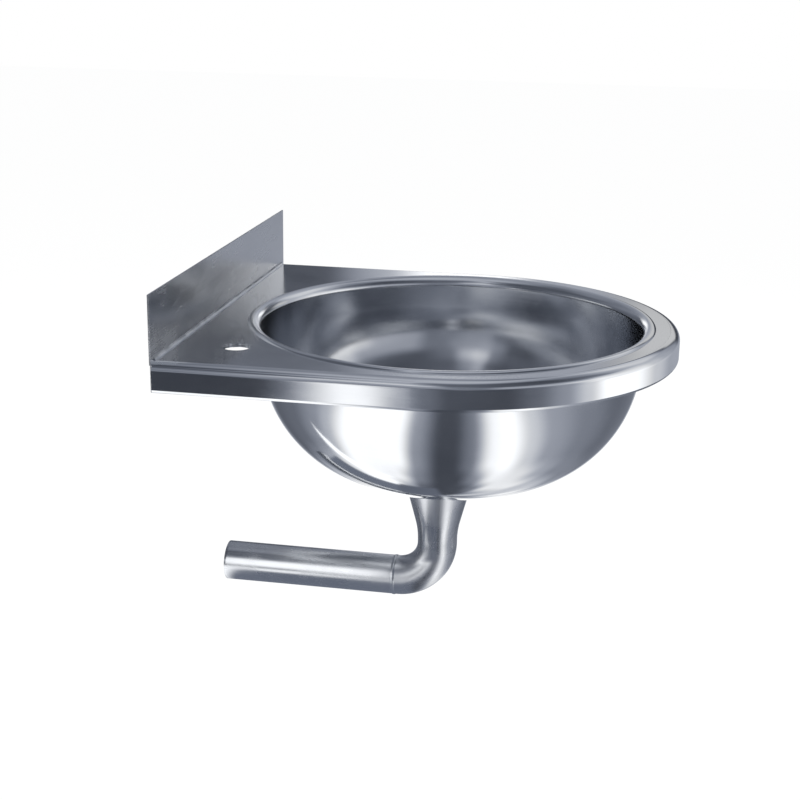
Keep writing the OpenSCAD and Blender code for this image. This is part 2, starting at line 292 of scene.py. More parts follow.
# How the patterns of every steel add up. A streak changes slowly along its length and fast across it, in
# patterns per metre. Clouds and smears make the wear, and wear and streaks make the roughness; each range is
# the part of the noise that is stretched out to a full change.
grain = {
    "along": 6.0, "across": 900.0, "fineNoise": (4.0, 0.6), "cloudNoise": (3.0, 0.5),
    "cloudShare": 0.6, "wearRange": (0.38, 0.62), "wearShare": 0.55, "rubRange": (0.25, 0.75),
    "spunAcross": 700.0, "spunSlant": 300.0, "spunTurn": 1.6, "axisGap": 0.001, "insideEdge": 0.004,
}


# The finish of one kind of steel: streaks from brushing or spinning, faint clouds, and fine relief.
# lines gives the vector in which the streaks are long in one direction and fine in the others.
def steel(name, look, lines):
    f, g = Finish(name), grain
    spot = f.coordinates()
    streaks = f.noise(lines(f, spot), 1.0, *g["fineNoise"])
    clouds = f.noise(spot, look["cloudScale"], *g["cloudNoise"])
    smearSpot = f.vector("MULTIPLY", spot, look["smearStretch"])
    smears = f.noise(smearSpot, look["smearScale"], *g["fineNoise"])
    wear = f.mapped(f.between(g["cloudShare"], smears, clouds), *g["wearRange"])
    shade = f.between(look["lineShade"], wear, streaks)
    rubbed = f.between(g["wearShare"], streaks, wear)
    rough = f.mapped(rubbed, *g["rubRange"], *look["roughness"])
    if "insideRoughness" in look:
        inside = f.mapped(rubbed, *g["rubRange"], *look["insideRoughness"])
        rough = f.between(facesMiddle(f, spot), rough, inside)
    shader = f.node("ShaderNodeBsdfPrincipled", {}, {
        "Base Color": f.mixed(shade, look["dark"], look["light"]), "Metallic": 1.0, "Roughness": rough,
        "Normal": f.bump(streaks, look["relief"], look["reliefDepth"] * mm)})
    return f.ended(shader)


# 1 where the bowl's surface faces its own middle, 0 outside it
def facesMiddle(f, spot):
    inwards = f.vector("SUBTRACT", (0, basin["bowlY"] * mm, 0), spot)
    dot = f.vector("DOT_PRODUCT", inwards, f.coordinates("Normal"), output=1)
    return f.mapped(dot, -grain["insideEdge"], grain["insideEdge"])


# Streaks along X for the flat sheets
def linesAlongX(f, spot):
    return f.vector("MULTIPLY", spot, (grain["along"], grain["across"], grain["across"]))


# Streaks that run up and down
def linesAlongZ(f, spot):
    return f.vector("MULTIPLY", spot, (grain["across"], grain["across"], grain["along"]))


# Streaks along the first direction of the piece's own UV map
def linesAlongPiece(f, spot):
    return f.vector("MULTIPLY", f.coordinates("UV"), (grain["along"], grain["across"], 1.0))


# Streaks round the bowl's own axis: they change with height and radius, and slowly with direction
def linesSpun(f, spot):
    g = grain
    x, y, z = f.parts(f.vector("SUBTRACT", spot, (0, basin["bowlY"] * mm, 0)))
    r = (x * x + y * y) ** 0.5
    turn = f.joined(x / (r + g["axisGap"]), y / (r + g["axisGap"]), 0.0)
    fine = f.joined(r * g["spunAcross"], r * g["spunSlant"], z * g["spunAcross"])
    return f.vector("MULTIPLY_ADD", turn, (g["spunTurn"],) * 3, fine)


# Each look has a dark and a light tone, the share of the streaks in the tone, the least and the most
# roughness, the scales of clouds and smears, and the strength and depth of the relief in millimetres
sheetLook = {
    "dark": (0.60, 0.615, 0.64), "light": (0.70, 0.715, 0.74), "lineShade": 0.25, "roughness": (0.06, 0.10),
    "cloudScale": 7.0, "smearScale": 3.0, "smearStretch": (4.0, 4.0, 14.0),
    "relief": 0.05, "reliefDepth": 0.02,
}
deckLook = {**sheetLook, "roughness": (0.11, 0.16)}
upstandLook = {**sheetLook, "roughness": (0.22, 0.3)}
bowlLook = {**sheetLook, "roughness": (0.07, 0.12), "insideRoughness": (0.12, 0.18),
            "smearStretch": (5.0, 5.0, 5.0), "relief": 0.04}
tubeLook = {
    "dark": (0.54, 0.555, 0.58), "light": (0.68, 0.695, 0.72), "lineShade": 0.6, "roughness": (0.2, 0.34),
    "cloudScale": 14.0, "smearScale": 9.0, "smearStretch": (3.0, 1.0, 3.0),
    "relief": 0.18, "reliefDepth": 0.04,
}
weldLook = {
    "dark": (0.54, 0.56, 0.59), "light": (0.72, 0.74, 0.77), "lineShade": 0.4, "roughness": (0.3, 0.45),
    "cloudScale": 60.0, "smearScale": 30.0, "smearStretch": (2.0, 2.0, 2.0),
    "relief": 0.25, "reliefDepth": 0.08,
}
boltLook = {
    "dark": (0.58, 0.59, 0.60), "light": (0.70, 0.71, 0.72), "lineShade": 0.3, "roughness": (0.22, 0.36),
    "cloudScale": 40.0, "smearScale": 60.0, "smearStretch": (1.0, 1.0, 1.0),
    "relief": 0.1, "reliefDepth": 0.03,
}
deckSteel = steel("deckSteel", deckLook, linesAlongX)
upstandSteel = steel("upstandSteel", upstandLook, linesAlongX)
bandSteel = steel("bandSteel", sheetLook, linesAlongPiece)
bowlSteel = steel("bowlSteel", bowlLook, linesSpun)
tubeSteel = steel("tubeSteel", tubeLook, linesAlongPiece)
weldSteel = steel("weldSteel", weldLook, linesAlongPiece)
plainWeldSteel = steel("plainWeldSteel", weldLook, linesSpun)
boltSteel = steel("boltSteel", boltLook, linesAlongZ)
print("steel finishes made")

# The drawn bowl. Its rings have radius r and height z; near the outlet their middle moves from the bowl's
# axis to the outlet's, and their height follows the sphere of the bottom. The seat has a rounded rim, a
# rounded foot and a broken edge at its hole; a holding ring beside each keeps the flat metal's shading flat.
bowl = {
    "wallR": 185.0, "wallDepth": 32.0, "sideR": 125.0, "rollR": 10.0, "crestR": 193.5, "lipRise": 2.0,
    "beadR": 4.0, "beadStart": 30.0, "beadEnd": 53.13, "seatR": 29.5, "holeR": 23.0,
    "rim": 0.5, "foot": 0.4, "holeEdge": 0.3, "holding": 0.6, "cornerCut": 0.3,
    "innerRings": 26, "outerRings": 20, "turns": 288,
}


def bowlPiece():
    b, t = bowl, basin["sheet"]
    wallR, crestR, rollR, beadR = b["wallR"], b["crestR"], b["rollR"], b["beadR"]
    knee, wallFoot = wallR - b["sideR"], -b["wallDepth"]
    tilt = basin["joinAngle"] - 90
    crest, beadZ = b["lipRise"] - rollR, b["lipRise"] - beadR
    inside = chain(
        arc(crestR, beadZ, beadR, b["beadStart"], 90, 9),
        arc(crestR, crest, rollR, 90, 180, 28),
        straight((wallR - t, crest), (wallR - t, wallFoot), 8),
        arc(knee, wallFoot, b["sideR"] - t, 0, tilt, 40))
    outside = chain(
        arc(knee, wallFoot, b["sideR"], tilt, 0, 40),
        straight((wallR, wallFoot), (wallR, crest), 8),
        arc(crestR, crest, rollR - t, 180, 90, 20),
        arc(crestR, beadZ, beadR - t, 90, b["beadEnd"], 5))
    theta = fullTurn(b["turns"])
    outletShift = basin["outletY"] - basin["bowlY"]

    # Rings of the round bottom: z = crownZ - sqrt(R^2 - x^2 - y^2), and y moves by shift * (3 s^2 - 2 s^3)
    def dome(sphereR, fromR, toR, count):
        s = np.linspace(0, 1, count)
        r = fromR + (toR - fromR) * s
        shift = outletShift * s * s * (3 - 2 * s)
        x = r[:, None] * np.cos(theta)
        y = shift[:, None] + r[:, None] * np.sin(theta)
        z = basin["crownZ"] - np.sqrt(sphereR**2 - x**2 - y**2)
        return np.stack([x, y, z], 2)

    # Rings round the outlet at a fixed height, or hung from the rim of the dome
    def cup(r, z, rim=None):
        x = r * np.cos(theta)
        height = np.full_like(x, z) if rim is None else rim[:, 2] + z
        return np.stack([x, outletShift + r * np.sin(theta), height], 1)[None]

    # A profile of r and z carried round the bowl's axis: (r cos t, r sin t, z)
    def revolved(profile):
        r, z = profile[:, :1], profile[:, 1:]
        return np.stack(np.broadcast_arrays(r * np.cos(theta), r * np.sin(theta), z), 2)

    seatR, holeR, cupR = b["seatR"], b["holeR"], b["seatR"] + t
    rim, foot, edge, hold = b["rim"], b["foot"], b["holeEdge"], b["holding"]
    seatZ, low = basin["seatZ"], basin["seatZ"] - t
    rimCut, footCut = rim * b["cornerCut"], foot * b["cornerCut"]
    floorIn = dome(basin["crownR"] - t, inside[-1, 0], seatR + rim, b["innerRings"])
    floorOut = dome(basin["crownR"], outside[0, 0], cupR, b["outerRings"])[::-1]
    rimIn, rimOut = floorIn[-1], floorOut[0]
    seat = [cup(seatR + rimCut, -rimCut, rimIn), cup(seatR, -rim, rimIn),
            cup(seatR, seatZ + foot), cup(seatR - footCut, seatZ + footCut), cup(seatR - foot, seatZ),
            cup(holeR + edge + hold, seatZ), cup(holeR + edge, seatZ), cup(holeR, seatZ - edge),
            cup(holeR, low + edge), cup(holeR + edge, low), cup(holeR + edge + hold, low),
            cup(cupR - foot - hold, low), cup(cupR - foot, low), cup(cupR, low + foot),
            cup(cupR, -edge, rimOut)]
    grid = np.concatenate([revolved(inside), floorIn[1:], *seat, floorOut, revolved(outside)[1:]])
    grid[..., 1] += basin["bowlY"]
    return surface("bowlShell", grid, closeRows=True, closeCols=True, sharp=50)


place(bowlPiece(), "basin", "sheet", bowlSteel, "bowl")
print("bowl made")

# The apron: its section, measured out from the fold's start, goes along both sides and round the front
apron = {
    "foldR": 9.0, "height": 28.0, "hemWidth": 8.0, "hemR": 3.0, "edge": 0.4, "sideSteps": 12,
    "frontSteps": 288,
}


# Each point is path + out * direction, where out and the height come from the section
def apronPiece():
    a, t, e = apron, basin["sheet"], apron["edge"]
    foldR, hemR, foot, steps = a["foldR"], a["hemR"], -a["height"], a["sideSteps"]
    hemX, low, tip = foldR - hemR, foot + hemR, foldR - a["hemWidth"] + e
    section = chain(
        arc(0, -foldR, foldR, 90, 0, 28),
        straight((foldR, -foldR), (foldR, low), 9),
        arc(hemX, low, hemR, 0, -90, 16),
        straight((hemX, foot), (tip, foot), 6),
        arc(tip, foot + e, e, -90, -180, 4),
        arc(tip, foot + t - e, e, 180, 90, 4),
        straight((tip, foot + t), (hemX, foot + t), 5),
        arc(hemX, low, hemR - t, -90, 0, 10),
        straight((foldR - t, low), (foldR - t, -foldR), 7),
        arc(0, -foldR, foldR - t, 0, 90, 16))
    half, front = basin["foldStart"], basin["bowlY"]
    side = straight((0, -t), (0, front), steps)[:, 1]
    turn = np.radians(np.linspace(180, 360, a["frontSteps"] + 1))[1:-1]
    outX = np.r_[np.full(steps, -1.0), np.cos(turn), np.ones(steps)]
    outY = np.r_[np.zeros(steps), np.sin(turn), np.zeros(steps)]
    pathY = np.r_[side, front + half * np.sin(turn), side[::-1]]
    out, height = section[:, 0], section[:, 1]
    x = outX[:, None] * (half + out)
    y = pathY[:, None] + outY[:, None] * out
    grid = np.stack(np.broadcast_arrays(x, y, height), 2)
    return surface("apronBand", grid, closeCols=True, caps=True, sharp=60)


place(apronPiece(), "basin", "sheet", bandSteel, "apron_band")
print("apron made")

# Flat pieces are merged copies of the solids with a small bevel: name, its width in millimetres, its
# segments, then body, slot and finish
flatPieces = {
    "deck_plate": ("deckSheet", 0.2, 3, "basin", "sheet", deckSteel),
    "back_plate": ("upstandSheet", 0.3, 3, "basin", "sheet", upstandSteel),
    "tap_hole_stiffener": ("tapHoleRing", 0.3, 3, "basin", "sheet", deckSteel),
    "left_wall_bracket": ("leftBracket", 0.5, 3, "basin", "sheet", deckSteel),
    "right_wall_bracket": ("rightBracket", 0.5, 3, "basin", "sheet", deckSteel),
    "earth_tag": ("earthTag", 0.3, 3, "basin", "sheet", deckSteel),
    "earth_washers": ("earthWashers", 0.2, 3, "basin", "fastener", boltSteel),
    "strainer_plate": ("strainerPlate", 0.15, 2, "strainer", "sheet", deckSteel),
}
for node, (name, width, segments, body, slot, finish) in flatPieces.items():
    place(bevelledCopy(name, node, width, segments), body, slot, finish, node)
print("flat pieces made")

# The waste bend: one tube whose bell mouth meets the bowl, with a waist, a bend to the wall and a short
# straight end. A ring of it is a circle round the tube's middle line, square to that line.
waste = {
    "mouthR": 34.0, "mouthZ": -167.0, "waistR": 80.0, "waistZ": -230.0, "bellRings": 12, "waistRings": 24,
    "bendRings": 40, "turns": 144, "rimPasses": 5, "cutEdge": 0.25, "cutRound": 0.3,
}


# Rings of the neck: (r cos t, outletY + r sin t, z); r and z are rings x turns, or rings x 1
def neckRings(r, z, theta):
    return np.stack(np.broadcast_arrays(r * np.cos(theta), basin["outletY"] + r * np.sin(theta), z), 2)


# Rings of the bend: at angle b the middle line has turned by b from straight down to straight at the wall,
# (r cos t, bendY - cos b (R - r sin t), bendZ - sin b (R - r sin t))
def bendRings(r, b, theta):
    b = b[:, None]
    away = basin["bendR"] - r * np.sin(theta)
    x = np.broadcast_to(r * np.cos(theta), (len(b), len(theta)))
    return np.stack([x, basin["bendY"] - np.cos(b) * away, basin["bendZ"] - np.sin(b) * away], 2)


# Rings of the straight pipe: (r cos t, y, pipeZ + r sin t); r and y are rings x turns, or rings x 1
def pipeRings(r, y, theta):
    return np.stack(np.broadcast_arrays(r * np.cos(theta), y, basin["pipeZ"] + r * np.sin(theta)), 2)


def wastePiece():
    w, pipeR = waste, basin["pipeR"]
    theta = fullTurn(w["turns"])
    middle = np.array([pipeR + w["waistR"], w["waistZ"]])
    mouth = np.array([w["mouthR"], w["mouthZ"]])
    away = mouth - middle
    meet = math.atan2(away[1], away[0]) + math.acos(w["waistR"] / math.hypot(*away))
    square = np.array([math.cos(meet), math.sin(meet)])
    shift = basin["outletY"] - basin["bowlY"]

    # One wall of the tube, inside or outside, from the bowl down to the joint
    def wallOf(inset):
        end = middle + (w["waistR"] + inset) * square
        start = mouth + inset * square
        slope = (start[0] - end[0]) / (start[1] - end[1])
        z = np.full_like(theta, start[1])
        for _ in range(w["rimPasses"]):
            # The rim lies on the sphere of the bowl's underside
            edge = end[0] + slope * (z - end[1])
            ring = (edge * np.cos(theta))**2 + (shift + edge * np.sin(theta))**2
            z = basin["crownZ"] - np.sqrt(basin["crownR"]**2 - ring)
        s = np.linspace(0, 1, w["bellRings"])[:, None]
        bellZ = z + (end[1] - z) * s
        bell = neckRings(end[0] + slope * (bellZ - end[1]), bellZ, theta)
        waist = arc(*middle, w["waistR"] + inset, math.degrees(meet), 180, w["waistRings"])[1:]
        bend = bendRings(pipeR - inset, np.radians(np.linspace(0, 90, w["bendRings"])), theta)
        last = bend[-1:] + np.array([0, basin["jointY"] - basin["bendY"], 0])
        return np.concatenate([bell, neckRings(waist[:, :1], waist[:, 1:], theta), bend, last])

    grid = np.concatenate([wallOf(0), wallOf(basin["pipeWall"])[::-1]])
    return surface("wasteBend", grid, True, True, sharp=50)


# The straight pipe: a tube along Y whose cut end has a light chamfer
def pipePiece():
    r, inner, joint = basin["pipeR"], basin["pipeR"] - basin["pipeWall"], basin["jointY"]
    e, cut = waste["cutEdge"], waste["cutEdge"] * waste["cutRound"]
    section = chain(
        straight((joint, r), (-e, r), 14), (-cut, r - cut), (0, r - e),
        (0, inner + e), (-cut, inner + cut), straight((-e, inner), (joint, inner), 14))
    grid = pipeRings(section[:, 1:], section[:, :1], fullTurn(waste["turns"]))
    return surface("wastePipe", grid, True, True, sharp=35)


place(wastePiece(), "basin", "pipe", tubeSteel, "waste_bend")
place(pipePiece(), "basin", "pipe", tubeSteel, "waste_pipe")
print("waste made")

# Welds: a bead's section goes along its seam, and shallow ripples follow one another along it. Steps are
# points along a seam, scales are its ripples, and sunk lines close a bead inside the metal it joins.
weld = {
    "ripple": 0.06, "pipeHalf": 2.0, "pipeHigh": 0.6, "pipeSteps": 480, "pipeScales": 60, "pipeSunk": 0.5,
    "bellR": 3.5, "bellFrom": -12, "bellTo": -128, "bellSteps": 600, "bellScales": 88,
    "bellSunkR": 0.6, "bellSunkZ": 0.4, "footR": 3.0, "footSteps": 760, "footScales": 190,
}


# Height of the ripples along a seam: h (|sin(pi s)| - 1), a row of rounded scales
def ripples(steps, scales):
    s = np.arange(steps) / steps * scales
    return weld["ripple"] * (np.abs(np.sin(np.pi * s)) - 1)


# The bead's radius is r + high (1 - a^2) for a from -1 to 1 across the seam
def pipeWeldPiece():
    w, r, steps = weld, basin["pipeR"], weld["pipeSteps"]
    across = np.linspace(-1, 1, 13)[:, None]
    crown = (w["pipeHigh"] + ripples(steps, w["pipeScales"])) * (1 - across**2)
    radius = np.concatenate([r + crown, np.full((1, steps), r - w["pipeSunk"])])
    y = basin["jointY"] + np.concatenate([across * w["pipeHalf"], [[0]]])
    return surface("pipeWeld", pipeRings(radius, y, fullTurn(steps)), True, True, sharp=60)


# The bead's section is an arc round the mouth's edge, open towards the bowl
def bellWeldPiece():
    w, steps = weld, weld["bellSteps"]
    phi = np.radians(np.linspace(w["bellFrom"], w["bellTo"], 17))[:, None]
    bead = w["bellR"] + ripples(steps, w["bellScales"])
    out = np.concatenate([bead * np.cos(phi), np.full((1, steps), -w["bellSunkR"])])
    down = np.concatenate([bead * np.sin(phi), np.full((1, steps), -w["bellSunkZ"])])
    grid = neckRings(waste["mouthR"] + out, waste["mouthZ"] + basin["sheet"] + down, fullTurn(steps))
    return surface("bellWeld", grid, True, True, sharp=60)


# The fillet along the foot of the upstand is hollow, (r + r cos p, r + r sin p); its ends are cut flat
def footWeldPiece():
    w, r, half = weld, weld["footR"], basin["foldStart"]
    x = np.linspace(-half, half, w["footSteps"])[:, None]
    phi = np.radians(np.linspace(180, 270, 9))
    scale = (1 + ripples(w["footSteps"], w["footScales"]) / r)[:, None]
    corner = np.zeros_like(x)
    y = np.concatenate([(r + r * np.cos(phi)) * scale, corner], 1)
    z = np.concatenate([(r + r * np.sin(phi)) * scale, corner], 1)
    grid = np.stack(np.broadcast_arrays(x, -basin["sheet"] - np.maximum(y, 0), np.maximum(z, 0)), 2)
    return surface("upstandWeld", grid, closeCols=True, caps=True, sharp=60)


place(pipeWeldPiece(), "basin", "weld", weldSteel, "pipe_weld")
place(bellWeldPiece(), "basin", "weld", weldSteel, "bell_weld")
place(footWeldPiece(), "basin", "weld", weldSteel, "upstand_weld")
cadNodes["bowl_weld"].data.materials.clear()
cadNodes["bowl_weld"].data.materials.append(plainWeldSteel)
print("welds made")


# A turned piece: a profile of radius r and height z goes round a middle line that starts at origin and runs
# along axis, X or Z: origin + r cos t u + r sin t v + z axis. shape may change the radius with direction
# and height, for a hexagon or a thread.
def turned(name, profile, origin, axis, turns, sharp, shape=None, closed=False):
    theta = fullTurn(turns)
    r, z = np.broadcast_arrays(profile[:, :1], profile[:, 1:], theta)[:2]
    if shape is not None:
        r = shape(r, z, theta)
    w, u = np.array(axis, float), np.array([0.0, 1.0, 0.0])
    v = np.cross(w, u)
    x, y = r * np.cos(theta), r * np.sin(theta)
    grid = np.array(origin, float) + x[..., None] * u + y[..., None] * v + z[..., None] * w
    return surface(name, grid, closeRows=closed, closeCols=True, sharp=sharp)


# The lifting knob: crowned head, hollow waist, shank through the strainer and rivet head below
knob = {
    "headR": 6.0, "headH": 4.0, "height": 9.0, "waistR": 3.5, "waistRound": 0.8, "footH": 0.3,
    "shankR": 2.5, "rivetR": 4.0, "rivetH": 1.0, "rivetRound": 0.9, "crown": 0.35,
}


# The head's top falls away from its middle by crown * (r / flat)^2
def knobPiece():
    k, t = knob, basin["sheet"]
    top, under = t + k["height"], t + k["height"] - k["headH"]
    rim, waistR, waistRound, rivetRound = k["headH"] / 2, k["waistR"], k["waistRound"], k["rivetRound"]
    rivetEdge = k["rivetH"] - rivetRound
    flat = k["headR"] - rim
    r = np.linspace(0, flat, 8)
    profile = chain(
        np.stack([r, top - k["crown"] * (r / flat)**2], 1), arc(flat, top - rim, rim, 78, -90, 14),
        (waistR + waistRound, under), arc(waistR + waistRound, under - waistRound, waistRound, 90, 180, 7),
        (waistR, t + k["footH"]), (waistR, t), (k["shankR"], t), (k["shankR"], 0),
        (k["rivetR"] - rivetEdge, 0), arc(k["rivetR"] - rivetRound, -rivetEdge, rivetRound, 0, -90, 8),
        (0, -k["rivetH"]))
    return turned("strainerKnob", profile, (0, basin["outletY"], basin["seatZ"]), (0, 0, 1), 64, 35)


place(knobPiece(), "strainer", "sheet", boltSteel, "strainer_knob")

# The earthing bolt with its thread, and its nut: both have a hexagon chamfered by a cone, which runs from
# coneR on the flat to cornerR at the depth of cone
bolt = {
    "r": 3.0, "length": 16.0, "headH": 4.0, "nutH": 5.0, "hexR": 5.75, "washer": 1.2, "pitch": 1.0,
    "threadDepth": 0.5, "origin": (135.157, -58.0, -12.25), "coneR": 5.0, "cornerR": 5.9, "cone": 0.5,
    "footR": 5.4, "foot": 0.3, "flatRings": (4.2, 4.5), "threadGap": 0.2, "tipLength": 0.9, "tipEdge": 0.2,
    "tipR": (2.4, 2.1), "nutEdge": 0.5, "nutChamfer": 0.4, "nutGap": 0.02, "turns": 72, "sharp": 30,
}


# Distance from the middle to the side of the bolt's hexagon: hexR cos 30 / cos(angle from the side's middle)
def hexagon(theta):
    turn = np.mod(theta, math.pi / 3) - math.pi / 6
    return bolt["hexR"] * math.cos(math.pi / 6) / np.cos(turn)


# Takes a thread's groove, a zigzag that climbs one pitch each turn, from a radius
def threaded(r, z, theta):
    phase = np.mod(z / bolt["pitch"] - theta / (2 * math.pi), 1)
    return r - bolt["threadDepth"] * (1 - np.abs(2 * phase - 1))


def boltPiece():
    b, r = bolt, bolt["r"]
    low, top = b["washer"], b["washer"] + b["headH"]
    tip = low - b["length"]
    steps = np.arange(low - b["threadGap"], tip + b["tipLength"], -b["pitch"] / 8)
    middle = [(0, top), *((ring, top) for ring in b["flatRings"])]
    hexed = [(b["coneR"], top), (b["cornerR"], top - b["cone"]), (b["cornerR"], low + b["foot"]),
             (b["footR"], low)]
    thread = [(r, z) for z in steps]
    end = [(b["tipR"][0], tip + b["tipEdge"]), (b["tipR"][1], tip), (0, tip)]
    stretches = [middle, hexed, [(r, low)], thread, end]
    counts = [len(s) for s in stretches]
    isHex = np.repeat([s is hexed for s in stretches], counts)[:, None]
    isThread = np.repeat([s is thread for s in stretches], counts)[:, None]

    def shape(r, z, theta):
        sides = np.where(isHex, np.minimum(r, hexagon(theta)), r)
        return np.where(isThread, threaded(r, z, theta), sides)

    profile = np.array(sum(stretches, []), float)
    return turned("earthBolt", profile, b["origin"], (1, 0, 0), b["turns"], b["sharp"], shape)


def nutPiece():
    b, r = bolt, bolt["r"]
    top = -basin["sheet"] - b["washer"]
    low = top - b["nutH"]
    mouthR, boreR, chamfer = r + b["nutEdge"], r + b["nutGap"], b["nutChamfer"]
    profile = np.array([
        (mouthR, low), (b["coneR"], low), (b["cornerR"], low + b["cone"]), (b["cornerR"], top - b["cone"]),
        (b["coneR"], top), (mouthR, top), (boreR, top - chamfer), (boreR, low + chamfer)])

    def shape(r, z, theta):
        return np.where(r >= b["coneR"], np.minimum(r, hexagon(theta)), r)

    return turned("earthNut", profile, b["origin"], (1, 0, 0), b["turns"], b["sharp"], shape, closed=True)


place(boltPiece(), "basin", "fastener", boltSteel, "earth_bolt")
place(nutPiece(), "basin", "fastener", boltSteel, "earth_nut")
print("knob and fasteners made")

# The camera stands where the photograph was taken from, and looks at a point near the bowl's middle.
# Angles in degrees, lengths in millimetres; aside and up move the point in the picture's own directions.
view = {
    "azimuth": -79.18, "elevation": 16.74, "roll": 0.81, "distance": 1512.7, "lens": 69.985, "sensor": 36.0,
    "aside": -56.81, "up": -78.07, "around": (0, -236.83, 0),
}


def addCamera():
    a, e, tilt = (math.radians(view[k]) for k in ("azimuth", "elevation", "roll"))
    back = Vector((math.sin(a) * math.cos(e), -math.cos(a) * math.cos(e), math.sin(e)))
    level = (-back).cross(Vector((0, 0, 1))).normalized()
    top = level.cross(-back)
    right = level * math.cos(tilt) + top * math.sin(tilt)
    up = top * math.cos(tilt) - level * math.sin(tilt)
    target = Vector(view["around"]) + right * view["aside"] + up * view["up"]
    where = (target + back * view["distance"]) * mm
    camera = linked("camera", bpy.data.cameras.new("camera"))
    camera.data.lens = view["lens"]
    camera.data.sensor_width = view["sensor"]
    camera.matrix_world = Matrix.Translation(where) @ Matrix((right, up, back)).transposed().to_4x4()
    bpy.context.scene.camera = camera


addCamera()

# The studio in metres: a white floor under the mounted basin, a white world, two soft lamps (place, size
# and watts), and a surround that only the steel mirrors
studio = {
    "floorZ": -0.85, "floorSize": 12.0, "floorColor": (0.86, 0.87, 0.88), "floorShown": 0.9, "fill": 1.0,
    "lamps": {"keyLamp": ((-1.6, -1.8, 2.4), 1.6, 110.0), "fillLamp": ((2.2, -1.2, 1.8), 1.8, 60.0)},
    "lampColor": (1.0, 0.99, 0.98), "aim": (0.0, -0.2, -0.1), "white": (1.0, 1.0, 1.0, 1.0),
}

